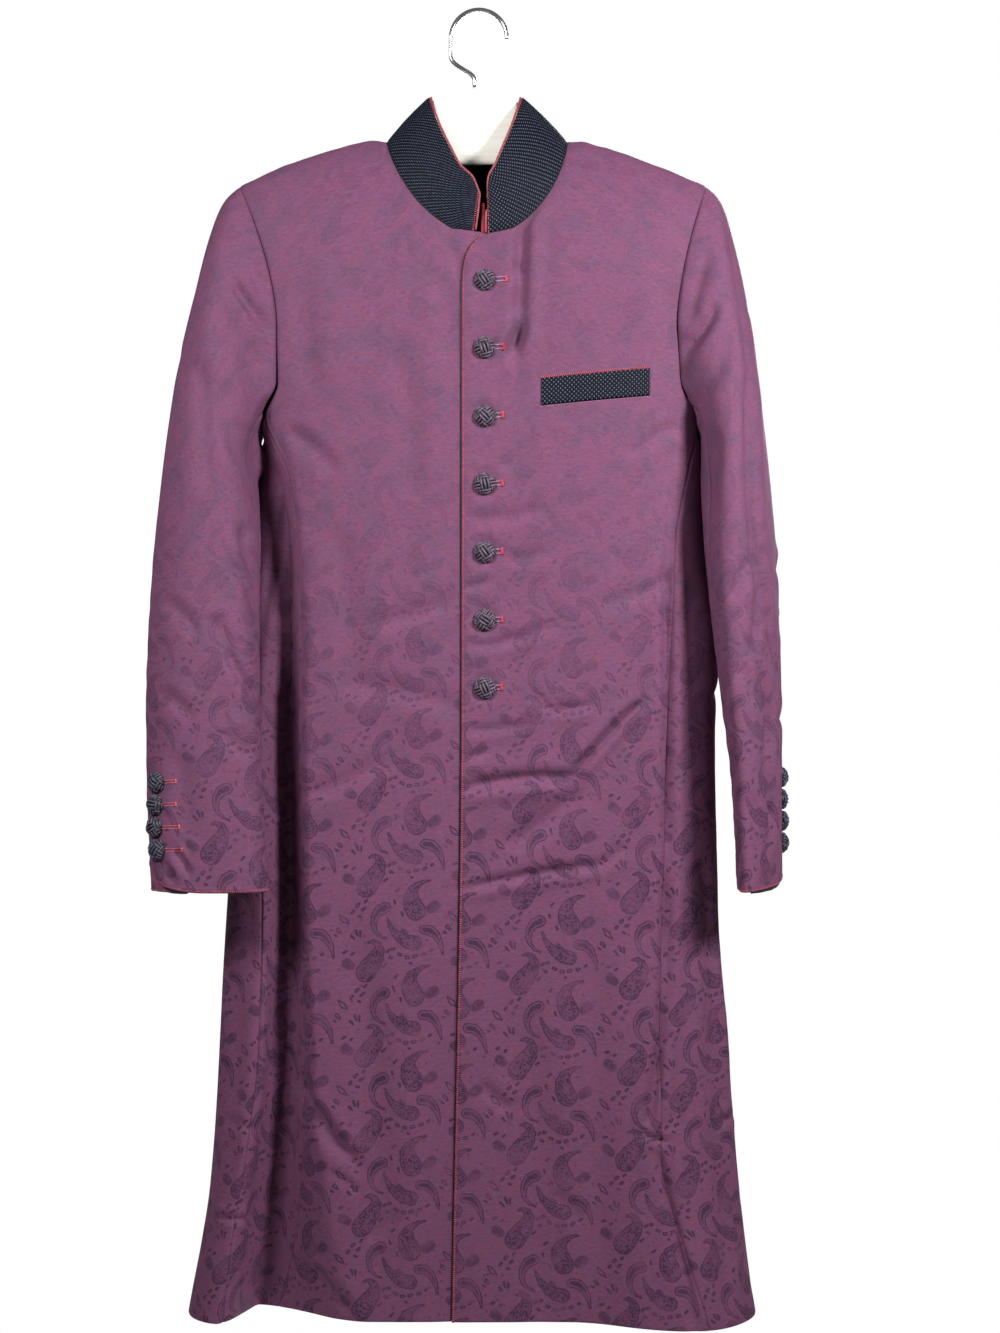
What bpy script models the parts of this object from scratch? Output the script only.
"""A sherwani coat on a wooden hanger, as the pieces that a maker cuts and sews.

Metres, +Z up. The origin is the inside top of the hanger's hook, where it hangs.
The coat faces -Y. Left and right are the wearer's, so the left side is at +X.

The body of the coat is one smooth surface. Below the yoke line it is a stack of level
rings, read by the distance along the ring from the button line. Above it the front and
the back are two sheets that round over the shoulder line. Each panel is a part of that
surface, given its wall, and the sleeves and the collar start from its open edges.
"""
import functools
import math

import bpy
import bmesh
import numpy as np

for leftover in list(bpy.data.objects):
    bpy.data.objects.remove(leftover, do_unlink=True)

# ---------------------------------------------------------------- driving sizes

CLOTH = 0.0018                 # wall of the coat's cloth with its interlining
SEAM = 0.0003                  # gap between two pieces at a seam
LAP = CLOTH + 0.0007           # how far an underlapping edge lies below the upper one

HEM_Z = -1.218
NOTCH_Z = -0.385               # where the side body meets the armhole
UNDERARM_Z = -0.400
YOKE_Z = -0.300                # above it the panels follow neck, shoulder and armhole
SIDE_NECK_Z = -0.1232
BUTTON_LINE_X = 0.006
SHOULDER_POINT_X = {"left": 0.2134, "right": -0.2247}
SIGN = {"left": 1.0, "right": -1.0}

BODY_SQUARENESS = 3.4          # power of the level rings: 2 is an ellipse, more is boxier
RING_STEPS = 720
STEP = 0.0005                  # small step for slopes
SHEARED = 1.3                  # a cell whose diagonals differ by more is cut the short way


class Table:
    """Rows under named columns, read smoothly along the first column."""

    def __init__(self, columns, rows):
        values = np.array(sorted(rows))
        self.keys = values[:, 0]
        self.columns = {name: values[:, i] for i, name in enumerate(columns)}

    def at(self, name, key):
        keys, values = self.keys, self.columns[name]
        key = min(max(key, keys[0]), keys[-1])
        i = min(max(int(np.searchsorted(keys, key)) - 1, 0), len(keys) - 2)
        slopes = np.diff(values) / np.diff(keys)

        def tangent(j):
            if j == 0 or j == len(keys) - 1:
                return slopes[min(j, len(slopes) - 1)]
            before, after = slopes[j - 1], slopes[j]
            return 0.0 if before * after <= 0 else 2 * before * after / (before + after)

        span = keys[i + 1] - keys[i]
        t = (key - keys[i]) / span
        return float(values[i] * (1 + 2 * t) * (1 - t) ** 2
                     + tangent(i) * span * t * (1 - t) ** 2
                     + values[i + 1] * t * t * (3 - 2 * t)
                     - tangent(i + 1) * span * t * t * (1 - t))


BODY = Table(
    ("height", "right_x", "left_x", "front_y", "back_y", "side_y"), (
        (HEM_Z, -0.272, 0.259, -0.045, 0.056, 0.012),
        (-1.100, -0.252, 0.243, -0.048, 0.055, 0.010),
        (-0.960, -0.242, 0.231, -0.052, 0.053, 0.006),
        (-0.830, -0.235, 0.223, -0.055, 0.050, 0.003),
        (-0.700, -0.224, 0.221, -0.057, 0.047, 0.000),
        (-0.600, -0.210, 0.219, -0.059, 0.046, 0.000),
        (-0.500, -0.203, 0.206, -0.061, 0.047, 0.000),
        (-0.400, -0.205, 0.203, -0.062, 0.048, 0.000),
        (-0.300, -0.213, 0.209, -0.061, 0.048, 0.000),
        (-0.230, -0.234, 0.226, -0.060, 0.051, 0.000),
        (-0.160, -0.262, 0.252, -0.058, 0.055, 0.000),
        (-0.100, -0.285, 0.275, -0.056, 0.057, 0.000)))

# Where each panel's edge lies, as a distance along the ring from the button line.
# Above the notch the edges are the armhole's, below it they are seams.
EDGES = Table(
    ("height", "right_front", "right_back", "left_front", "left_back"), (
        (HEM_Z, 0.200, 0.238, 0.199, 0.318),
        (-1.150, 0.182, 0.231, 0.180, 0.290),
        (-1.060, 0.172, 0.219, 0.160, 0.265),
        (-0.960, 0.171, 0.209, 0.160, 0.256),
        (-0.830, 0.172, 0.207, 0.164, 0.254),
        (-0.650, 0.174, 0.214, 0.170, 0.258),
        (-0.500, 0.180, 0.236, 0.177, 0.266),
        (-0.437, 0.190, 0.258, 0.191, 0.272),
        (NOTCH_Z, 0.212, 0.286, 0.205, 0.278),
        (-0.355, 0.194, 0.291, 0.183, 0.284),
        (YOKE_Z, 0.193, 0.298, 0.178, 0.292)))

FRONT_EDGE = Table(
    ("height", "upper", "under"), (
        (HEM_Z, -0.0305, 0.012),
        (-0.645, -0.0215, 0.020),
        (YOKE_Z, -0.0211, 0.022)))

SHOULDER = Table(
    ("across", "height"), (
        (-0.2400, -0.1730),
        (-0.2247, -0.1648),
        (-0.1880, -0.1475),
        (-0.1500, -0.1345),
        (-0.1200, -0.1255),
        (-0.1000, -0.1215),
        (-0.0865, SIDE_NECK_Z),
        (0.0000, -0.1180),
        (0.0827, SIDE_NECK_Z),
        (0.0960, -0.1225),
        (0.1150, -0.1275),
        (0.1325, -0.1325),
        (0.1710, -0.1470),
        (0.2134, -0.1648),
        (0.2300, -0.1730)))

# Large folds: where they lie along the ring, how far they reach on either side, and how
# deep they go. A negative depth is a valley.
FOLD_COLUMNS = ("height", "along", "toward_front", "toward_back", "depth")
FOLDS = (
    Table(FOLD_COLUMNS, (           # valley between right front and back, full length
        (HEM_Z, -0.222, 0.115, 0.013, -0.046),
        (-1.120, -0.209, 0.070, 0.013, -0.042),
        (-0.970, -0.193, 0.040, 0.014, -0.038),
        (-0.830, -0.190, 0.030, 0.015, -0.036),
        (-0.600, -0.196, 0.032, 0.020, -0.034),
        (-0.470, -0.208, 0.036, 0.034, -0.026),
        (-0.390, -0.230, 0.050, 0.050, 0.000))),
    Table(FOLD_COLUMNS, (           # ridge behind it that comes forward at the hem
        (HEM_Z, -0.243, 0.012, 0.050, 0.020),
        (-1.100, -0.228, 0.012, 0.045, 0.010),
        (-0.900, -0.213, 0.012, 0.040, 0.000))),
    Table(FOLD_COLUMNS, (           # left front comes forward at the hem
        (HEM_Z, 0.196, 0.120, 0.075, 0.034),
        (-1.080, 0.180, 0.100, 0.060, 0.014),
        (-0.860, 0.160, 0.090, 0.050, 0.000))),
    Table(FOLD_COLUMNS, (           # soft folds of the back
        (HEM_Z, 0.440, 0.060, 0.060, 0.016),
        (-0.900, 0.430, 0.055, 0.055, 0.009),
        (-0.560, 0.420, 0.050, 0.050, 0.000))),
    Table(FOLD_COLUMNS, (
        (HEM_Z, -0.395, 0.055, 0.055, 0.015),
        (-0.900, -0.380, 0.050, 0.050, 0.008),
        (-0.560, -0.370, 0.050, 0.050, 0.000))),
    Table(FOLD_COLUMNS, (
        (HEM_Z, -0.485, 0.035, 0.045, -0.012),
        (-0.900, -0.480, 0.035, 0.040, -0.006),
        (-0.650, -0.480, 0.035, 0.040, 0.000))),
)

NECK_CENTRE_X = -0.0019
NECK_FRONT_X = 0.004
NECK_HALF_WIDTH = 0.0846
NECK_FRONT_Z = -0.2203
NECK_BACK_Z = -0.1420
NECK_FRONT_POWER = 1.35         # the front neckline: 1 is an ellipse, more is flatter
YOKE_ROUND = 2.2               # how fast the yoke fills out below the shoulder line

COLLAR_WALL = 0.0022
COLLAR_BACK_TOP_Z = -0.0900
COLLAR_TOP_BACK_Y = 0.0215
COLLAR_BACK_POWER = 0.60       # less is squarer across the back
COLLAR_GAP = 0.0032            # half the opening at the centre front
COLLAR_BULGE = 0.0025
COLLAR_ROWS = 4
PIPING_RADIUS = 0.0010
PIPING_SIDES = 6
PIPING_CLEAR = PIPING_RADIUS + 0.0006
PIPING_START = 0.18            # of the collar's first row, above the neck seam

# Top edge of the collar by the share of the way from the centre front to the side.
COLLAR_EDGE = Table(
    ("share", "centre", "out", "height", "y"), (
        (0.000, 0.0044, COLLAR_GAP, -0.1830, -0.0520),
        (0.167, 0.0020, 0.0080, -0.1665, -0.0500),
        (0.333, -0.0010, 0.0170, -0.1540, -0.0465),
        (0.500, -0.0020, 0.0250, -0.1360, -0.0400),
        (0.667, -0.0026, 0.0325, -0.1180, -0.0310),
        (0.833, -0.0030, 0.0395, -0.0975, -0.0190),
        (1.000, -0.0030, 0.0440, -0.0800, 0.0000)))

# Hanger sections by the distance out from its centre: top, bottom and half thickness.
HANGER = Table(
    ("out", "top", "bottom", "depth"), (
        (0.0000, -0.0725, -0.1440, 0.0065),
        (0.0200, -0.0730, -0.1440, 0.0065),
        (0.0330, -0.0750, -0.1455, 0.0065),
        (0.0385, -0.0830, -0.1465, 0.0065),
        (0.0450, -0.0960, -0.1480, 0.0065),
        (0.0600, -0.1120, -0.1510, 0.0070),
        (0.0750, -0.1260, -0.1570, 0.0080),
        (0.0865, -0.1310, -0.1620, 0.0095),
        (0.1000, -0.1320, -0.1670, 0.0115),
        (0.1250, -0.1360, -0.1770, 0.0135),
        (0.1550, -0.1440, -0.1860, 0.0150),
        (0.1820, -0.1530, -0.1930, 0.0155),
        (0.1980, -0.1600, -0.1950, 0.0150)))

# Sleeve sections. The outer line runs from the shoulder point to the cuff's outer edge,
# the inner line from the underarm to the cuff's inner edge. Front and back say how far
# the section swells to either side of the line that joins them, and twist, in degrees,
# how far the grain turns from the back towards the outside.
SLEEVE_COLUMNS = ("place", "outer_x", "outer_y", "outer_z", "inner_x", "inner_y",
                  "inner_z", "front", "back", "twist")
SLEEVES = {
    "right": Table(SLEEVE_COLUMNS, (
        (0.00, -0.2247, 0.000, -0.1648, -0.2050, 0.000, -0.400, 0.047, 0.043, 0),
        (0.04, -0.2400, 0.000, -0.1800, -0.2085, -0.006, -0.411, 0.051, 0.046, 2),
        (0.10, -0.2530, -0.002, -0.2150, -0.2085, -0.014, -0.426, 0.056, 0.050, 6),
        (0.18, -0.2670, -0.005, -0.2750, -0.2060, -0.023, -0.446, 0.060, 0.053, 12),
        (0.28, -0.2810, -0.010, -0.3450, -0.2030, -0.033, -0.472, 0.059, 0.053, 22),
        (0.40, -0.2920, -0.018, -0.4250, -0.2005, -0.043, -0.506, 0.054, 0.050, 34),
        (0.55, -0.3005, -0.032, -0.5250, -0.2000, -0.055, -0.563, 0.045, 0.044, 49),
        (0.70, -0.3035, -0.049, -0.6250, -0.1985, -0.066, -0.635, 0.038, 0.038, 63),
        (0.85, -0.3010, -0.064, -0.7200, -0.1950, -0.075, -0.722, 0.031, 0.030, 74),
        (1.00, -0.2955, -0.077, -0.8174, -0.1885, -0.082, -0.8174, 0.026, 0.026, 81))),
    "left": Table(SLEEVE_COLUMNS, (
        (0.00, 0.2134, 0.000, -0.1648, 0.2030, 0.000, -0.400, 0.047, 0.043, 0),
        (0.04, 0.2270, 0.000, -0.1800, 0.2070, -0.008, -0.411, 0.051, 0.046, 2),
        (0.10, 0.2390, 0.002, -0.2180, 0.2070, -0.018, -0.426, 0.056, 0.049, 6),
        (0.18, 0.2520, 0.004, -0.2780, 0.2065, -0.028, -0.446, 0.061, 0.051, 11),
        (0.28, 0.2620, 0.006, -0.3480, 0.2070, -0.037, -0.472, 0.064, 0.053, 17),
        (0.40, 0.2720, 0.008, -0.4250, 0.2085, -0.045, -0.506, 0.063, 0.053, 24),
        (0.55, 0.2805, 0.008, -0.5250, 0.2130, -0.053, -0.563, 0.057, 0.050, 32),
        (0.70, 0.2830, 0.004, -0.6250, 0.2205, -0.062, -0.635, 0.050, 0.046, 39),
        (0.85, 0.2830, -0.004, -0.7200, 0.2300, -0.070, -0.722, 0.043, 0.042, 44),
        (1.00, 0.2830, -0.014, -0.8140, 0.2345, -0.080, -0.8180, 0.037, 0.038, 46))),
}
SLEEVE_SQUARENESS = 2.15
CUFF_PLACE = 1.0
FOREARM_SEAM = 140             # degrees round the armhole from its top, by the front
HINDARM_SEAM = 292
VENT_START = 0.80              # sleeve place where the cuff's vent opens
VENT_RAMP = 0.025              # sleeve places over which the underlap slips below
UNDERLAP_COLUMNS = 4           # top sleeve columns that the underlap reaches past the edge
VENT_CORNER_RISE = 0.028
VENT_CORNER_WIDTH = 1.30       # radians of the cuff that the rounded corner takes

WELT_WALL = 0.0016
WELT_CLEAR = 0.0004
WELT_ENDS_X = (0.0575, 0.1565)
WELT_TOP_Z = (-0.3525, -0.3425)
WELT_DEPTH = 0.0245

BUTTON_RADIUS = 0.0100
BUTTON_HEIGHT = 0.0085
BUTTON_SIDES = 10
FRONT_BUTTONS = 7
FRONT_BUTTON_TOP_Z = -0.2628
FRONT_BUTTON_PITCH = 0.0620
CUFF_BUTTONS = 4
CUFF_BUTTON_RADIUS = 0.0094
CUFF_BUTTON_HEIGHT = 0.0070
CUFF_BUTTON_SIDES = 8
CUFF_BUTTON_TOP_Z = -0.7190
CUFF_BUTTON_PITCH = 0.0203
CUFF_BUTTON_FROM_EDGE = 0.30   # radians of the cuff from the vent's edge

HOOK_WIRE = 0.0040
HOOK_RADIUS = 0.0263
HOOK_SIDES = 8
HOOK_BEND_CUTS = 7
HOOK_ARC_CUTS = 14
HOOK_ARC_SHARE = 1.02          # of a half circle, from the left side over to the tip
HANGER_CENTRE_X = -0.0040
HANGER_SIDES = 12
HANGER_ARM_START = 0.120       # beyond this the arms follow the coat's shoulders
HANGER_BELOW_SHOULDER = CLOTH + 0.0012
HANGER_ROOM = CLOTH + 0.0014   # between the arms' sides and the outside of the cloth

# ---------------------------------------------------------------- small helpers


def smooth(value):
    value = min(max(value, 0.0), 1.0)
    return value * value * (3 - 2 * value)


def blend(first, second, share):
    return first * (1 - share) + second * share


def unit(vector):
    return vector / max(float(np.linalg.norm(vector)), 1e-12)


def material(name, colour, roughness, metallic=0.0):
    finish = bpy.data.materials.new(name)
    finish.use_nodes = True
    shader = finish.node_tree.nodes["Principled BSDF"]
    shader.inputs["Base Color"].default_value = (*colour, 1.0)
    shader.inputs["Roughness"].default_value = roughness
    shader.inputs["Metallic"].default_value = metallic
    return finish


JACQUARD = material("plum_jacquard", (0.175, 0.070, 0.120), 0.60)
BASKET = material("black_basket_weave", (0.020, 0.020, 0.032), 0.75)
PIPING = material("red_piping", (0.330, 0.020, 0.045), 0.55)
BUTTON_BRAID = material("dark_braid", (0.030, 0.018, 0.026), 0.65)
WOOD = material("pale_wood", (0.830, 0.740, 0.560), 0.45)
CHROME = material("chrome_wire", (0.780, 0.780, 0.800), 0.18, 1.0)


def solid(name, points, faces, finish):
    """A closed body from its points and faces, with its faces turned outwards."""
    mesh = bpy.data.meshes.new(name)
    mesh.from_pydata([tuple(map(float, point)) for point in points], [], faces)
    shape = bmesh.new()
    shape.from_mesh(mesh)
    bmesh.ops.recalc_face_normals(shape, faces=shape.faces)
    shape.to_mesh(mesh)
    shape.free()
    mesh.shade_smooth()
    mesh.set_sharp_from_angle(angle=math.radians(45))
    mesh.materials.append(finish)
    piece = bpy.data.objects.new(name, mesh)
    bpy.context.scene.collection.objects.link(piece)
    return piece


def wall(name, outer, inner, finish):
    """A cloth wall between an outer and an inner net of points, closed along its rims.

    Each cell is cut the same way outside and inside, and a sheared one the short way.
    """
    outer, inner = np.asarray(outer), np.asarray(inner)
    rows, columns = outer.shape[:2]
    points = np.concatenate((outer.reshape(-1, 3), inner.reshape(-1, 3)))
    back = rows * columns
    faces = []
    for i in range(rows - 1):
        for j in range(columns - 1):
            a = i * columns + j
            b, c, d = a + 1, a + columns + 1, a + columns
            if (np.linalg.norm(outer[i, j] - outer[i + 1, j + 1])
                    > SHEARED * np.linalg.norm(outer[i, j + 1] - outer[i + 1, j])):
                a, b, c, d = b, c, d, a
            faces += [(a, b, c), (a, c, d)]
            faces += [(back + c, back + b, back + a), (back + d, back + c, back + a)]
    border = [j for j in range(columns)]
    border += [i * columns + columns - 1 for i in range(1, rows)]
    border += [(rows - 1) * columns + j for j in range(columns - 2, -1, -1)]
    border += [i * columns for i in range(rows - 2, 0, -1)]
    for a, b in zip(border, border[1:] + border[:1]):
        if a < b:
            faces += [(b, a, back + a), (b, back + a, back + b)]
        else:
            faces += [(b, a, back + b), (a, back + a, back + b)]
    return solid(name, points, faces, finish)


# ---------------------------------------------------------------- the body's surface


@functools.lru_cache(maxsize=None)
def ring(z):
    """Level section at z: lengths along it from the button line, and its x and y."""
    turn = np.linspace(0.0, 2 * math.pi, RING_STEPS + 1)
    across, forward = np.sin(turn), np.cos(turn)
    power = BODY_SQUARENESS
    reach = (np.abs(across) ** power + np.abs(forward) ** power) ** (-1 / power)
    side_y = BODY.at("side_y", z)
    wide = np.where(across >= 0, BODY.at("left_x", z) - BUTTON_LINE_X,
                    BUTTON_LINE_X - BODY.at("right_x", z))
    deep = np.where(forward >= 0, side_y - BODY.at("front_y", z),
                    BODY.at("back_y", z) - side_y)
    x = BUTTON_LINE_X + wide * across * reach
    y = side_y - deep * forward * reach
    lengths = np.concatenate(([0.0], np.cumsum(np.hypot(np.diff(x), np.diff(y)))))
    return lengths, x, y


def fold_height(along, z, girth):
    total = 0.0
    for fold in FOLDS:
        depth = fold.at("depth", z) if z <= fold.keys[-1] else 0.0
        if depth == 0.0:
            continue
        away = (along - fold.at("along", z) + girth / 2) % girth - girth / 2
        front_side = (away > 0) == (fold.at("along", z) < 0)
        reach = fold.at("toward_front" if front_side else "toward_back", z)
        share = min(abs(away) / reach, 1.0)
        total += depth * (1 - share * share) ** 2
    return total


def body_point(along, z, lift=0.0):
    """A point of the coat's outer surface below the yoke line."""
    lengths, xs, ys = ring(round(z, 6))
    girth = lengths[-1]
    along = along % girth

    def level(place):
        place = place % girth
        return np.array((np.interp(place, lengths, xs), np.interp(place, lengths, ys)))

    tangent = unit(level(along + 0.002) - level(along - 0.002))
    outward = np.array((tangent[1], -tangent[0]))
    x, y = level(along) + outward * (fold_height(along, z, girth) + lift)
    return np.array((x, y, z))


def body_normal(along, z, lift=0.0):
    forward = body_point(along + STEP, z, lift) - body_point(along - STEP, z, lift)
    up = body_point(along, z + STEP, lift) - body_point(along, z - STEP, lift)
    return unit(np.cross(forward, up))


def even_places(z, start, end, count):
    """Distances along the ring that cut the folded cloth into equal lengths."""
    samples = np.linspace(start, end, 6 * count + 1)
    points = np.array([body_point(along, z) for along in samples])
    steps = np.linalg.norm(np.diff(points, axis=0), axis=1)
    lengths = np.concatenate(([0.0], np.cumsum(steps)))
    return np.interp(np.linspace(0, lengths[-1], count + 1), lengths, samples)


def yoke_wall_y(x, z, face):
    """Depth of the full section at x, before the shoulder rounds it: face -1 is front."""
    side_y = BODY.at("side_y", z)
    edge_x = BODY.at("left_x" if x > BUTTON_LINE_X else "right_x", z)
    share = min(abs((x - BUTTON_LINE_X) / (edge_x - BUTTON_LINE_X)), 1.0)
    deep = side_y - BODY.at("front_y", z) if face < 0 else BODY.at("back_y", z) - side_y
    return side_y + face * deep * (1 - share ** BODY_SQUARENESS) ** (1 / BODY_SQUARENESS)


def yoke_point(x, z, face, lift=0.0):
    """A point of the outer surface above the yoke line, on the front or the back."""
    top = SHOULDER.at("height", x)
    drop = min(max((top - z) / (top - YOKE_Z), 0.0), 1.0)
    fullness = math.sqrt(max(1 - (1 - drop) ** YOKE_ROUND, 0.0))
    return np.array((x, fullness * yoke_wall_y(x, z, face) + face * lift, z))


def yoke_normal(x, z, face):
    top = SHOULDER.at("height", x)
    if top - z < 2 * STEP:
        slope = (SHOULDER.at("height", x + 0.004) - SHOULDER.at("height", x - 0.004)) / 0.008
        return unit(np.array((-slope, 0.0, 1.0)))
    room = min(STEP, (top - z) / 4)
    across = yoke_point(x + STEP, z, face) - yoke_point(x - STEP, z, face)
    up = yoke_point(x, z + room, face) - yoke_point(x, z - room, face)
    return unit(np.cross(across, up)) * -face


# ---------------------------------------------------------------- nets of the panels

BODY_ROWS = [HEM_Z + (NOTCH_Z - HEM_Z) * i / 18 for i in range(19)]
ARM_ROWS = [NOTCH_Z + (YOKE_Z - NOTCH_Z) * i / 4 for i in range(1, 5)]
YOKE_ROWS = 8


def yoke_share(row):
    """Rows crowd together towards the shoulder line, where the cloth turns over."""
    return math.sin(math.pi / 2 * row / YOKE_ROWS)


def neck_point(turn):
    """The neckline: turn 0 at the centre front, a quarter at the left side neck."""
    face = -1 if math.cos(turn) > 0 else 1
    forward = abs(math.cos(turn)) ** (NECK_FRONT_POWER if face < 0 else 1.0)
    middle_z = NECK_FRONT_Z if face < 0 else NECK_BACK_Z
    middle_x = NECK_FRONT_X if face < 0 else NECK_CENTRE_X
    x = blend(NECK_CENTRE_X, middle_x, forward) + NECK_HALF_WIDTH * math.sin(turn)
    z = blend(SIDE_NECK_Z, middle_z, forward)
    return x, z, face


def shoulder_x(side, share):
    side_neck_x = NECK_CENTRE_X + SIGN[side] * NECK_HALF_WIDTH
    return blend(side_neck_x, SHOULDER_POINT_X[side], share)


SHOULDER_CUTS = 5
FRONT_NECK_CUTS = 6
BACK_NECK_CUTS = 8
FRONT_EDGE_BEND = 6.0          # the front edge stays straight and rounds off at the neck
ARMHOLE_BEND = {-1: 1.65, 1: 1.95}


def neck_turn(column):
    """Turn of a neck column from the left front round: closest at the side necks."""
    if column > FRONT_NECK_CUTS + BACK_NECK_CUTS / 2:
        return 2 * math.pi - neck_turn(2 * FRONT_NECK_CUTS + BACK_NECK_CUTS - column)
    if column <= FRONT_NECK_CUTS:
        share, start = column / FRONT_NECK_CUTS, 0.0
        crowded = math.sin(math.pi / 2 * share)
    else:
        share, start = (column - FRONT_NECK_CUTS) / (BACK_NECK_CUTS / 2), math.pi / 2
        crowded = 1 - math.cos(math.pi / 2 * share)
    return start + math.pi / 2 * blend(share, crowded, 0.5)


def yoke_net(bottom, top, face, shares, bends, lift, seam_columns):
    """Rows above the yoke line: each column runs from the bottom to the neck or shoulder.

    A bend of 1 is a straight column in the x, z plane, and more holds it back at first.
    """
    outer, inner = [], []
    for i in range(1, YOKE_ROWS + 1):
        row, normals = [], []
        for j, (low, high) in enumerate(zip(bottom, top)):
            share = shares(i, j)
            z = blend(low[1], high[1], share)
            x = low[0] + (high[0] - low[0]) * share ** bends[j]
            z = min(z, SHOULDER.at("height", x))
            point = yoke_point(x, z, face, lift(x - BUTTON_LINE_X))
            if i == YOKE_ROWS and j in seam_columns:
                point[1] += face * SEAM / 2
            row.append(point)
            normals.append(yoke_normal(x, z, face))
        outer.append(row)
        inner.append([p - CLOTH * n for p, n in zip(row, normals)])
    return outer, inner


def front_panel(side):
    """Outer and inner nets of one front, from the button edge to the side."""
    sign = SIGN[side]
    upper = side == "left"
    columns = SHOULDER_CUTS + FRONT_NECK_CUTS

    def lift(along):
        return 0.0 if upper else -LAP * smooth((along + 0.050) / 0.024)

    def cut(z):
        edge = FRONT_EDGE.at("upper" if upper else "under", z)
        end = sign * EDGES.at(side + "_front", z)
        stretch = np.linalg.norm(body_point(end + STEP, z) - body_point(end - STEP, z))
        inset = SEAM / 2 * 2 * STEP / stretch if z < NOTCH_Z + 1e-6 else 0.0
        return even_places(z, edge, end - sign * inset, columns)

    outer, inner = [], []
    for z in BODY_ROWS + ARM_ROWS:
        places = cut(z)
        row = [body_point(along, z, lift(along)) for along in places]
        normals = [body_normal(along, z, lift(along)) for along in places]
        outer.append(row)
        inner.append([p - CLOTH * n for p, n in zip(row, normals)])

    bottom = [np.array((p[0], p[2])) for p in outer[-1]]
    top = []
    for j in range(FRONT_NECK_CUTS + 1):
        x, z, _ = neck_point(sign * neck_turn(j))
        top.append(np.array((x, z)))
    for j in range(1, SHOULDER_CUTS + 1):
        x = shoulder_x(side, j / SHOULDER_CUTS)
        top.append(np.array((x, SHOULDER.at("height", x))))
    if not upper:
        top[0] = np.array((NECK_FRONT_X + 0.012, NECK_FRONT_Z + 0.001))

    def shares(i, j):
        crowding = smooth(j / FRONT_NECK_CUTS)
        return blend(i / YOKE_ROWS, yoke_share(i), crowding)

    bends = [FRONT_EDGE_BEND if j == 0 else blend(1.0, ARMHOLE_BEND[-1], max(
        0.0, (j - FRONT_NECK_CUTS) / SHOULDER_CUTS)) for j in range(columns + 1)]
    seam_columns = range(FRONT_NECK_CUTS, columns + 1)
    yoke_outer, yoke_inner = yoke_net(bottom, top, -1, shares, bends, lift, seam_columns)
    return np.array(outer + yoke_outer), np.array(inner + yoke_inner)


def back_panel():
    """Outer and inner nets of the back, from the left side seam round to the right."""
    columns = 2 * SHOULDER_CUTS + BACK_NECK_CUTS
    outer, inner = [], []
    for z in BODY_ROWS + ARM_ROWS:
        girth = ring(round(z, 6))[0][-1]
        inset = SEAM / 2 if z < NOTCH_Z + 1e-6 else 0.0
        start = EDGES.at("left_back", z) + inset
        end = girth - EDGES.at("right_back", z) - inset
        places = even_places(z, start, end, columns)
        row = [body_point(along, z) for along in places]
        normals = [body_normal(along, z) for along in places]
        outer.append(row)
        inner.append([p - CLOTH * n for p, n in zip(row, normals)])
    bottom = [np.array((p[0], p[2])) for p in outer[-1]]
    top = []
    for j in range(SHOULDER_CUTS, 0, -1):
        x = shoulder_x("left", j / SHOULDER_CUTS)
        top.append(np.array((x, SHOULDER.at("height", x))))
    for j in range(FRONT_NECK_CUTS, FRONT_NECK_CUTS + BACK_NECK_CUTS + 1):
        x, z, _ = neck_point(neck_turn(j))
        top.append(np.array((x, z)))
    for j in range(1, SHOULDER_CUTS + 1):
        x = shoulder_x("right", j / SHOULDER_CUTS)
        top.append(np.array((x, SHOULDER.at("height", x))))
    bends = [blend(1.0, ARMHOLE_BEND[1], max(0.0, 1 - min(j, columns - j) / SHOULDER_CUTS))
             for j in range(columns + 1)]
    seam_columns = [j for j in range(columns + 1)
                    if not SHOULDER_CUTS < j < SHOULDER_CUTS + BACK_NECK_CUTS]
    yoke_outer, yoke_inner = yoke_net(
        bottom, top, 1, lambda i, j: yoke_share(i), bends, lambda along: 0.0, seam_columns)
    return np.array(outer + yoke_outer), np.array(inner + yoke_inner)


SIDE_CUTS = 8


def side_panel(side):
    """Outer and inner nets of a side body, whose top is the bottom of the armhole."""
    sign = SIGN[side]
    outer, inner = [], []
    for z in BODY_ROWS:
        start, end = EDGES.at(side + "_front", z), EDGES.at(side + "_back", z)
        places = even_places(z, sign * start, sign * end, SIDE_CUTS)
        stretch = [np.linalg.norm(body_point(a + STEP, z) - body_point(a - STEP, z))
                   for a in (places[0], places[-1])]
        places[0] += sign * SEAM / 2 * 2 * STEP / stretch[0]
        places[-1] -= sign * SEAM / 2 * 2 * STEP / stretch[1]
        rise = smooth((z - (NOTCH_Z - 0.25)) / 0.25)
        row, back = [], []
        for j, along in enumerate(places):
            dip = (NOTCH_Z - UNDERARM_Z) * math.sin(math.pi * j / SIDE_CUTS) ** 0.8
            level = z - rise * dip
            point = body_point(along, level)
            row.append(point)
            back.append(point - CLOTH * body_normal(along, level))
        outer.append(row)
        inner.append(back)
    return np.array(outer), np.array(inner)


# ---------------------------------------------------------------- joining to an edge


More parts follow.
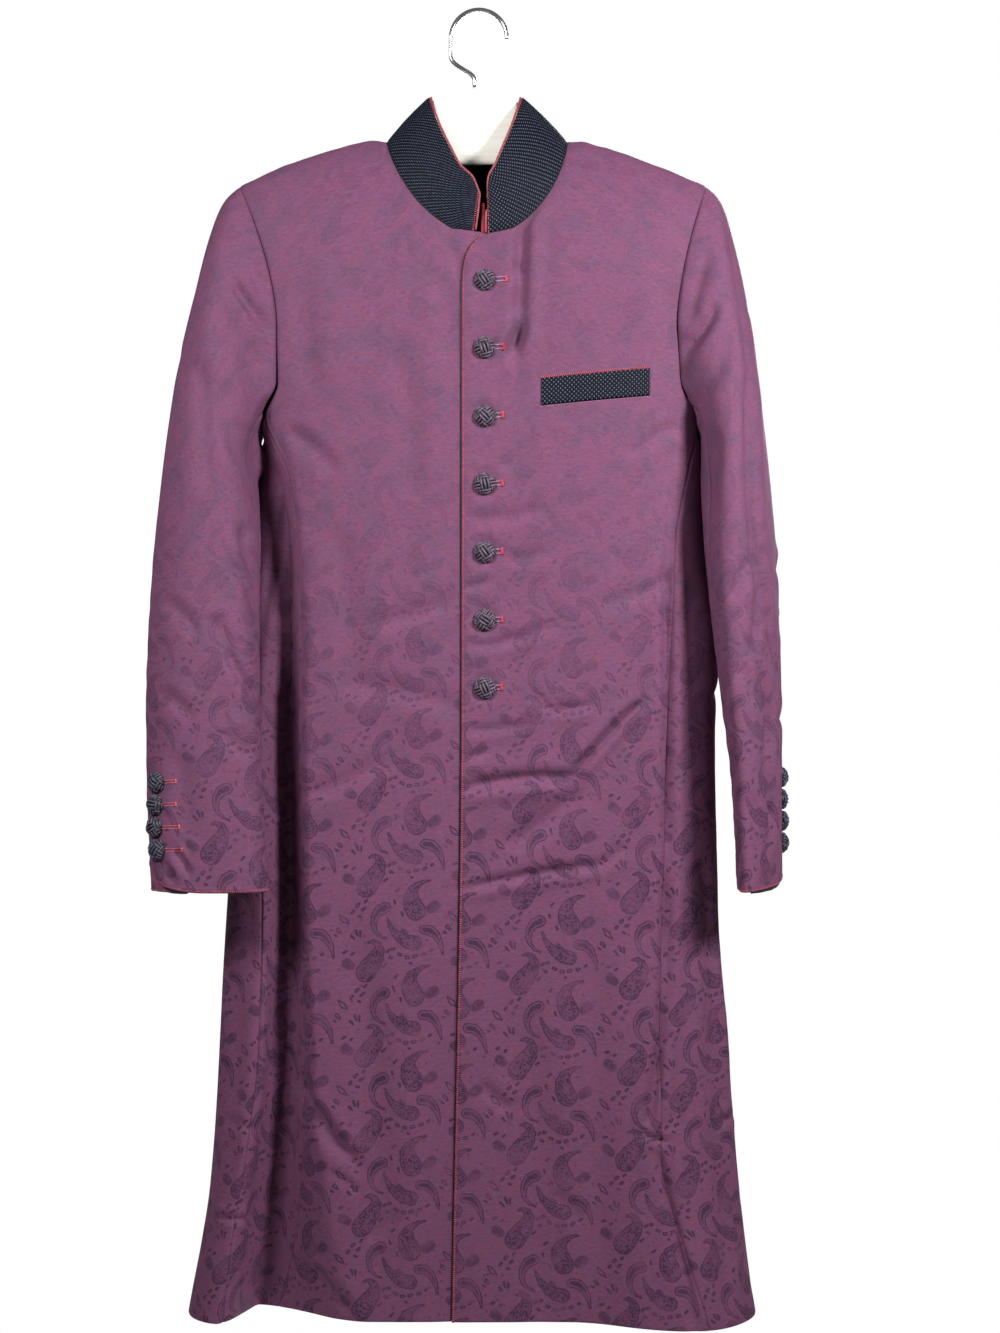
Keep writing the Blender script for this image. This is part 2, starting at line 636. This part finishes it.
def join_to_edge(edge, normals, following, centre, thickness):
    """First row of a piece sewn to an open edge: its outer and inner points."""
    count = len(edge)
    outer, inner = [], []
    for k in range(count):
        before, after = edge[max(k - 1, 0)], edge[min(k + 1, count - 1)]
        tangent = unit(after - before)
        away = unit(np.cross(tangent, normals[k]))
        if np.dot(away, centre - edge[k]) < 0:
            away = -away
        start = edge[k] + SEAM * away
        course = unit(following[k] - start)
        lean = math.atan2(np.dot(course, normals[k]), np.dot(course, away))
        lean = min(max(lean, 0.0), math.pi)
        outer.append(start)
        inner.append(start + thickness * (math.sin(lean) * away - math.cos(lean) * normals[k]))
    return np.array(outer), np.array(inner)


def net_normals(net, toward):
    """Normals of a net of points, turned to the side that `toward` says."""
    along_rows = np.gradient(net, axis=0)
    along_columns = np.gradient(net, axis=1)
    normals = np.cross(along_rows, along_columns)
    normals /= np.maximum(np.linalg.norm(normals, axis=2, keepdims=True), 1e-12)
    signs = np.sign(np.sum(normals * toward, axis=2, keepdims=True))
    return normals * np.where(signs == 0, 1.0, signs)


# ---------------------------------------------------------------- sleeves

SLEEVE_PLACES = (0.0, 0.022, 0.055, 0.10, 0.155, 0.215, 0.28, 0.35, 0.43, 0.51, 0.59,
                 0.67, 0.75, VENT_START, 0.825, 0.85, 0.90, 0.95, CUFF_PLACE)


def sleeve_section(side, place, turn):
    """Sleeve surface: turn 0 is the outer line, a quarter the front, a half the inner."""
    table = SLEEVES[side]
    outer = np.array([table.at("outer_" + axis, place) for axis in "xyz"])
    inner = np.array([table.at("inner_" + axis, place) for axis in "xyz"])
    turn = turn + math.radians(table.at("twist", place))
    across, forward = math.cos(turn), math.sin(turn)
    power = SLEEVE_SQUARENESS
    reach = (abs(across) ** power + abs(forward) ** power) ** (-1 / power)
    swell = table.at("front" if forward > 0 else "back", place)
    half = (outer - inner) / 2
    point = (outer + inner) / 2 + half * across * reach
    point[1] -= swell * forward * reach
    return point


def armhole_loop(side, panels):
    """The armhole's edge points and normals, from the shoulder point down the front."""
    sign = SIGN[side]
    front_outer, front_inner = panels["front_" + side]
    side_outer, side_inner = panels["side_" + side]
    back_outer, back_inner = panels["back"]
    back_column = 0 if side == "left" else -1
    first = len(BODY_ROWS) - 1
    outer = [front_outer[i, -1] for i in range(len(front_outer) - 1, first - 1, -1)]
    inner = [front_inner[i, -1] for i in range(len(front_inner) - 1, first - 1, -1)]
    outer += [side_outer[-1, j] for j in range(1, SIDE_CUTS)]
    inner += [side_inner[-1, j] for j in range(1, SIDE_CUTS)]
    outer += [back_outer[i, back_column] for i in range(first, len(back_outer))]
    inner += [back_inner[i, back_column] for i in range(first, len(back_inner))]
    outer, inner = np.array(outer), np.array(inner)
    outer[0, 1] = outer[-1, 1] = 0.0
    inner[0, 1] = inner[-1, 1] = 0.0
    normals = outer - inner
    normals /= np.linalg.norm(normals, axis=1, keepdims=True)
    return outer, normals


def sleeve_nets(side, panels):
    """Outer and inner nets of a whole sleeve, its first and last columns the same."""
    edge, edge_normals = armhole_loop(side, panels)
    centre = edge[:-1].mean(axis=0)
    height = (edge[:, 2].max() - edge[:, 2].min()) / 2
    depth = (edge[:, 1].max() - edge[:, 1].min()) / 2
    middle_z = (edge[:, 2].max() + edge[:, 2].min()) / 2
    middle_y = (edge[:, 1].max() + edge[:, 1].min()) / 2
    turns = [math.atan2(-(p[1] - middle_y) / depth, (p[2] - middle_z) / height)
             for p in edge]
    turns = np.unwrap(turns)
    turns[0], turns[-1] = 0.0, 2 * math.pi
    rows = []
    for place in SLEEVE_PLACES:
        near = (1 - min(place / 0.30, 1.0)) ** 3
        row = []
        for k, turn in enumerate(turns):
            point = sleeve_section(side, place, turn)
            point += near * (edge[k] - sleeve_section(side, 0.0, turn))
            row.append(point)
        rows.append(row)
    rows = np.array(rows)
    closed = np.concatenate((rows[:, -2:-1], rows, rows[:, 1:2]), axis=1)
    middle = rows[:, :-1].mean(axis=1)[:, None, :]
    normals = net_normals(closed, closed - middle)[:, 1:-1]
    inner = rows - CLOTH * normals
    loop = np.concatenate((edge[-2:-1], edge, edge[1:2]))
    loop_normals = np.concatenate((edge_normals[-2:-1], edge_normals, edge_normals[1:2]))
    following = np.concatenate((rows[1, -2:-1], rows[1], rows[1, 1:2]))
    first_outer, first_inner = join_to_edge(loop, loop_normals, following, centre, CLOTH)
    rows[0], inner[0] = first_outer[1:-1], first_inner[1:-1]
    return rows, inner, turns


def extended(column_index, count):
    """Column numbers run round the sleeve, and the first and the last are the same."""
    return (column_index - 1) % (count - 1) + 1


def trim_seam(outer, inner, column, neighbour):
    """Draws a net's edge column back from the seam by half the gap."""
    across = outer[:, neighbour] - outer[:, column]
    across /= np.linalg.norm(across, axis=1, keepdims=True)
    outer[:, column] += across * SEAM / 2
    inner[:, column] += across * SEAM / 2


def round_corner(outer, inner, turns):
    """Rounds the top sleeve's corner at the vent, where the cuff's hem meets the edge."""
    for column, turn in enumerate(turns):
        share = max(1 - (turn - turns[0]) / VENT_CORNER_WIDTH, 0.0)
        rise = VENT_CORNER_RISE * (1 - math.sqrt(1 - share * share))
        part = rise / np.linalg.norm(outer[-2, column] - outer[-1, column])
        for net in (outer, inner):
            net[-1, column] = blend(net[-1, column], net[-2, column], part)


def add_underlap(under_outer, under_inner, outer, normals, hindarm, count):
    """Under sleeve with the vent's underlap, which passes below the top sleeve's edge."""
    edge_cell = (under_outer[:, -1] - under_outer[:, -2], under_outer[:, -2].copy())
    closed_shares = np.linspace(0.70, 1.0, UNDERLAP_COLUMNS + 2)
    new_outer, new_inner = [], []
    for row, place in enumerate(SLEEVE_PLACES):
        dipped = place > VENT_START + 1e-6
        opened = place > VENT_START + VENT_RAMP + 1e-6
        points, backs = [], []
        for m, share in enumerate(closed_shares):
            base = edge_cell[1][row] + edge_cell[0][row] * share
            normal = unit(blend(normals[row, hindarm - 1], normals[row, hindarm], share))
            if opened and m > 1:
                column = extended(hindarm + m - 1, count)
                base, normal = outer[row, column], normals[row, column]
            elif opened and m == 1:
                base = edge_cell[1][row] + edge_cell[0][row] * 0.97
            depth = LAP if dipped and m > 0 else 0.0
            if m == UNDERLAP_COLUMNS + 1 and not opened:
                base = base - unit(edge_cell[0][row]) * SEAM / 2
            points.append(base - depth * normal)
            backs.append(base - (depth + CLOTH) * normal)
        new_outer.append(points)
        new_inner.append(backs)
    return (np.concatenate((under_outer[:, :-1], np.array(new_outer)), axis=1),
            np.concatenate((under_inner[:, :-1], np.array(new_inner)), axis=1))


def make_sleeve(side, panels):
    """Top and under sleeve, and the net and turns that the cuff's buttons lie on."""
    outer, inner, turns = sleeve_nets(side, panels)
    forearm = int(np.argmin(np.abs(turns - math.radians(FOREARM_SEAM))))
    hindarm = int(np.argmin(np.abs(turns - math.radians(HINDARM_SEAM))))
    count = len(turns)
    normals = (outer - inner) / np.linalg.norm(outer - inner, axis=2, keepdims=True)
    top_columns = list(range(hindarm, count)) + list(range(1, forearm + 1))
    top_outer, top_inner = outer[:, top_columns].copy(), inner[:, top_columns].copy()
    top_turns = np.unwrap(turns[top_columns])
    trim_seam(top_outer, top_inner, 0, 1)
    trim_seam(top_outer, top_inner, -1, -2)
    round_corner(top_outer, top_inner, top_turns)
    wall("top_sleeve_" + side, top_outer, top_inner, JACQUARD)
    under_outer = outer[:, forearm:hindarm + 1].copy()
    under_inner = inner[:, forearm:hindarm + 1].copy()
    trim_seam(under_outer, under_inner, 0, 1)
    under_outer, under_inner = add_underlap(
        under_outer, under_inner, outer, normals, hindarm, count)
    wall("under_sleeve_" + side, under_outer, under_inner, JACQUARD)
    return top_outer, top_inner, top_turns


def net_spot(net, rows_at, columns_at, row_value, column_value):
    """A point of a net between its rows and columns."""
    row = float(np.interp(row_value, rows_at, range(len(rows_at))))
    column = float(np.interp(column_value, columns_at, range(len(columns_at))))
    i, j = min(int(row), len(rows_at) - 2), min(int(column), len(columns_at) - 2)
    u, v = row - i, column - j
    return blend(blend(net[i, j], net[i, j + 1], v),
                 blend(net[i + 1, j], net[i + 1, j + 1], v), u)


# ---------------------------------------------------------------- collar and piping


def collar_top(turn):
    """The collar's top edge, from the centre front round the side to the back."""
    sign = math.copysign(1.0, math.sin(turn))
    forward = math.cos(turn)
    if forward > 0:
        share = 1 - math.acos(abs(math.sin(turn))) / (math.pi / 2)
        x = COLLAR_EDGE.at("centre", share) + sign * COLLAR_EDGE.at("out", share)
        return np.array((x, COLLAR_EDGE.at("y", share), COLLAR_EDGE.at("height", share)))
    tip = collar_top(math.pi / 2 - 1e-9)
    centre = COLLAR_EDGE.at("centre", 1.0)
    x = centre + sign * (tip[0] - centre) * abs(math.sin(turn))
    return np.array((x, COLLAR_TOP_BACK_Y * (-forward) ** COLLAR_BACK_POWER,
                     blend(tip[2], COLLAR_BACK_TOP_Z, -forward)))


def neck_rim(panels):
    """Neckline points, normals and turns, from the left front round to the right front."""
    left_outer, left_inner = (net[-1] for net in panels["front_left"])
    right_outer, right_inner = (net[-1] for net in panels["front_right"])
    back_outer, back_inner = (net[-1] for net in panels["back"])
    fronts, backs = FRONT_NECK_CUTS + 1, BACK_NECK_CUTS
    first_back = SHOULDER_CUTS + 1
    points = np.concatenate((left_outer[:fronts], back_outer[first_back:][:backs - 1],
                             right_outer[:fronts][::-1]))
    inners = np.concatenate((left_inner[:fronts], back_inner[first_back:][:backs - 1],
                             right_inner[:fronts][::-1]))
    turns = [neck_turn(column) for column in range(len(points))]
    for at_side in (FRONT_NECK_CUTS, FRONT_NECK_CUTS + BACK_NECK_CUTS):
        points[at_side, 1] = inners[at_side, 1] = 0.0
    for end, after, sign in ((0, 1, 1), (-1, -2, -1)):
        wanted = NECK_FRONT_X + sign * COLLAR_GAP
        share = (wanted - points[end, 0]) / (points[after, 0] - points[end, 0])
        points[end] = blend(points[end], points[after], share)
        inners[end] = blend(inners[end], inners[after], share)
        turns[end] = (2 * math.pi if sign < 0 else 0.0) + sign * 0.03
    normals = points - inners
    return points, normals / np.linalg.norm(normals, axis=1, keepdims=True), turns


def collar_nets(panels):
    """Outer and inner nets of the collar, from the left front end round to the right."""
    base, normals, turns = neck_rim(panels)
    top = np.array([collar_top(turn) for turn in turns])
    middle_line = np.array((NECK_CENTRE_X, 0.0, 0.0))
    rows = []
    for i in range(COLLAR_ROWS + 1):
        share = i / COLLAR_ROWS
        row = blend(base, top, share)
        outward = (row - middle_line) * np.array((1.0, 1.0, 0.0))
        outward /= np.linalg.norm(outward, axis=1, keepdims=True)
        rows.append(row + outward * COLLAR_BULGE * math.sin(math.pi * share))
    rows = np.array(rows)
    away = (rows - middle_line) * np.array((1.0, 1.0, 0.0))
    across = net_normals(rows, away)
    across[:, 0], across[:, -1] = across[:, 1], across[:, -2]
    inner = rows - COLLAR_WALL * across
    rows[0], inner[0] = join_to_edge(base, normals, rows[1], top.mean(axis=0), COLLAR_WALL)
    return rows, inner


def tube(name, path, radius, sides, finish):
    """A round wire or cord along a path, with flat closed ends."""
    path = np.array(path)
    side_way = None
    points, faces = [], []
    for i, centre in enumerate(path):
        course = unit(path[min(i + 1, len(path) - 1)] - path[max(i - 1, 0)])
        if side_way is None:
            side_way = np.cross(course, np.array((0.31, -0.87, 0.38)))
        side_way = unit(side_way - course * np.dot(side_way, course))
        other_way = np.cross(course, side_way)
        for k in range(sides):
            turn = 2 * math.pi * k / sides
            points.append(centre + radius * (math.cos(turn) * side_way
                                             + math.sin(turn) * other_way))
    for i in range(len(path) - 1):
        for k in range(sides):
            a, b = i * sides + k, i * sides + (k + 1) % sides
            faces.append((a, b, b + sides, a + sides))
    faces.append(tuple(range(sides)))
    faces.append(tuple(len(points) - sides + k for k in range(sides)))
    return solid(name, points, faces, finish)


def make_collar(panels):
    """The collar, and the piping that runs round its front ends and its top edge."""
    outer, inner = collar_nets(panels)
    wall("collar", outer, inner, BASKET)
    middle = (outer + inner) / 2
    through = outer - inner
    ways = ([(i, 0, i, 1) for i in range(COLLAR_ROWS)]
            + [(-1, j, -2, j) for j in range(middle.shape[1])]
            + [(i, -1, i, -2) for i in range(COLLAR_ROWS - 1, -1, -1)])
    rim = np.array([middle[i, j] for i, j, _, _ in ways])
    rim[0] = blend(rim[0], rim[1], PIPING_START)
    rim[-1] = blend(rim[-1], rim[-2], PIPING_START)
    path = []
    for k, (i, j, inside_i, inside_j) in enumerate(ways):
        course = unit(rim[min(k + 1, len(rim) - 1)] - rim[max(k - 1, 0)])
        outward = unit(np.cross(course, through[i, j]))
        if np.dot(outward, rim[k] - middle[inside_i, inside_j]) < 0:
            outward = -outward
        path.append(rim[k] + outward * PIPING_CLEAR)
    tube("collar_piping", path, PIPING_RADIUS, PIPING_SIDES, PIPING)


# ---------------------------------------------------------------- welt and buttons


def make_welt():
    """The breast welt lies on the left front, a gap clear of its points."""
    columns, rows = 6, 2
    outer, inner = [], []
    for i in range(rows + 1):
        row, back = [], []
        for j in range(columns + 1):
            share = j / columns
            x = blend(WELT_ENDS_X[0], WELT_ENDS_X[1], share)
            z = blend(WELT_TOP_Z[0], WELT_TOP_Z[1], share) - WELT_DEPTH * (1 - i / rows)
            along = x - BUTTON_LINE_X
            for _ in range(4):
                along += x - body_point(along, z)[0]
            base, normal = body_point(along, z), body_normal(along, z)
            row.append(base + normal * (WELT_CLEAR + WELT_WALL))
            back.append(base + normal * WELT_CLEAR)
        outer.append(row)
        inner.append(back)
    wall("breast_welt", outer, inner, BASKET)


BUTTON_PROFILE = (             # share of the radius, share of the height
    (0.78, 0.00),
    (1.00, 0.30),
    (0.88, 0.68),
    (0.52, 0.93))


def button(name, spot, normal, radius, height, sides):
    """A knotted button: a low dome turned about the cloth's normal."""
    across = unit(np.cross(normal, np.array((0.0, 0.0, 1.0))))
    other = np.cross(normal, across)
    seat = spot + normal * SEAM
    points = []
    for width, rise in BUTTON_PROFILE:
        for k in range(sides):
            turn = 2 * math.pi * k / sides
            rim = math.cos(turn) * across + math.sin(turn) * other
            points.append(seat + rim * width * radius + normal * rise * height)
    points += [seat, seat + normal * height]
    low, high = len(points) - 2, len(points) - 1
    faces = []
    for k in range(sides):
        after = (k + 1) % sides
        for level in range(len(BUTTON_PROFILE) - 1):
            a, b = level * sides + k, level * sides + after
            faces.append((a, b, b + sides, a + sides))
        last = (len(BUTTON_PROFILE) - 1) * sides
        faces.append((low, after, k))
        faces.append((high, last + k, last + after))
    solid(name, points, faces, BUTTON_BRAID)


def make_front_buttons():
    for number in range(FRONT_BUTTONS):
        z = FRONT_BUTTON_TOP_Z - number * FRONT_BUTTON_PITCH
        if z > YOKE_Z:
            spot, normal = yoke_point(BUTTON_LINE_X, z, -1), yoke_normal(BUTTON_LINE_X, z, -1)
        else:
            spot, normal = body_point(0.0, z), body_normal(0.0, z)
        button("button_front_%d" % (number + 1), spot, normal, BUTTON_RADIUS,
               BUTTON_HEIGHT, BUTTON_SIDES)


def make_cuff_buttons(side, outer, inner, turns):
    heights = outer[:, 1, 2]
    turn = turns[0] + CUFF_BUTTON_FROM_EDGE
    for number in range(CUFF_BUTTONS):
        z = CUFF_BUTTON_TOP_Z - number * CUFF_BUTTON_PITCH
        place = float(np.interp(-z, -heights, SLEEVE_PLACES))
        spot = net_spot(outer, SLEEVE_PLACES, turns, place, turn)
        normal = unit(spot - net_spot(inner, SLEEVE_PLACES, turns, place, turn))
        button("button_cuff_%s_%d" % (side, number + 1), spot, normal, CUFF_BUTTON_RADIUS,
               CUFF_BUTTON_HEIGHT, CUFF_BUTTON_SIDES)


# ---------------------------------------------------------------- hanger


def make_hanger():
    """Body of the hanger: sections along X, its arms just under the coat's shoulders."""
    outs = [-out for out in HANGER.keys[:0:-1]] + list(HANGER.keys)
    points, faces = [], []
    for out in outs:
        reach = abs(out)
        x = HANGER_CENTRE_X + out
        top, bottom = HANGER.at("top", reach), HANGER.at("bottom", reach)
        if reach > HANGER_ARM_START:
            top = SHOULDER.at("height", x) - HANGER_BELOW_SHOULDER
        depth, half = HANGER.at("depth", reach), (top - bottom) / 2
        for k in range(HANGER_SIDES):
            turn = 2 * math.pi * (k + 0.5) / HANGER_SIDES
            across, up = math.cos(turn), math.sin(turn)
            swell = (abs(across) ** 2.6 + abs(up) ** 2.6) ** (-1 / 2.6)
            y, z = depth * across * swell, (top + bottom) / 2 + half * up * swell
            if reach > HANGER_ARM_START:
                cloth_y = yoke_point(x, z + HANGER_ROOM, math.copysign(1, y))[1]
                y = math.copysign(min(abs(y), max(abs(cloth_y) - HANGER_ROOM, 0.002)), y)
            points.append((x, y, z))
    for i in range(len(outs) - 1):
        for k in range(HANGER_SIDES):
            a, b = i * HANGER_SIDES + k, i * HANGER_SIDES + (k + 1) % HANGER_SIDES
            faces.append((a, b, b + HANGER_SIDES, a + HANGER_SIDES))
    faces.append(tuple(range(HANGER_SIDES)))
    faces.append(tuple(len(points) - HANGER_SIDES + k for k in range(HANGER_SIDES)))
    solid("hanger_body", points, faces, WOOD)


def make_hook():
    """Chrome wire: up from the hanger, round to the left, over the top to its tip."""
    centre_z = HOOK_WIRE / 2 - HOOK_RADIUS
    foot_z = HANGER.at("top", 0.0) + SEAM
    foot_x = HANGER_CENTRE_X
    path = [(foot_x, 0.0, foot_z), (foot_x, 0.0, foot_z + 0.008)]
    bend = [(foot_x, foot_z + 0.008), (foot_x - 0.0005, foot_z + 0.017),
            (-HOOK_RADIUS, foot_z + 0.020), (-HOOK_RADIUS, foot_z + 0.031)]
    for i in range(1, HOOK_BEND_CUTS + 1):
        t = i / HOOK_BEND_CUTS
        weights = ((1 - t) ** 3, 3 * t * (1 - t) ** 2, 3 * t * t * (1 - t), t ** 3)
        path.append((sum(w * p[0] for w, p in zip(weights, bend)), 0.0,
                     sum(w * p[1] for w, p in zip(weights, bend))))
    path.append((-HOOK_RADIUS, 0.0, (bend[-1][1] + centre_z) / 2))
    for i in range(HOOK_ARC_CUTS + 1):
        turn = math.pi * (1 - HOOK_ARC_SHARE * i / HOOK_ARC_CUTS)
        path.append((HOOK_RADIUS * math.cos(turn), 0.0,
                     centre_z + HOOK_RADIUS * math.sin(turn)))
    tube("hanger_hook", path, HOOK_WIRE / 2, HOOK_SIDES, CHROME)


# ---------------------------------------------------------------- assembling

PANELS = {
    "front_left": front_panel("left"),
    "front_right": front_panel("right"),
    "side_left": side_panel("left"),
    "side_right": side_panel("right"),
    "back": back_panel(),
}
for panel_name, (panel_outer, panel_inner) in PANELS.items():
    wall(panel_name, panel_outer, panel_inner, JACQUARD)
for sleeve_side in ("left", "right"):
    make_cuff_buttons(sleeve_side, *make_sleeve(sleeve_side, PANELS))
make_collar(PANELS)
make_welt()
make_front_buttons()
make_hanger()
make_hook()
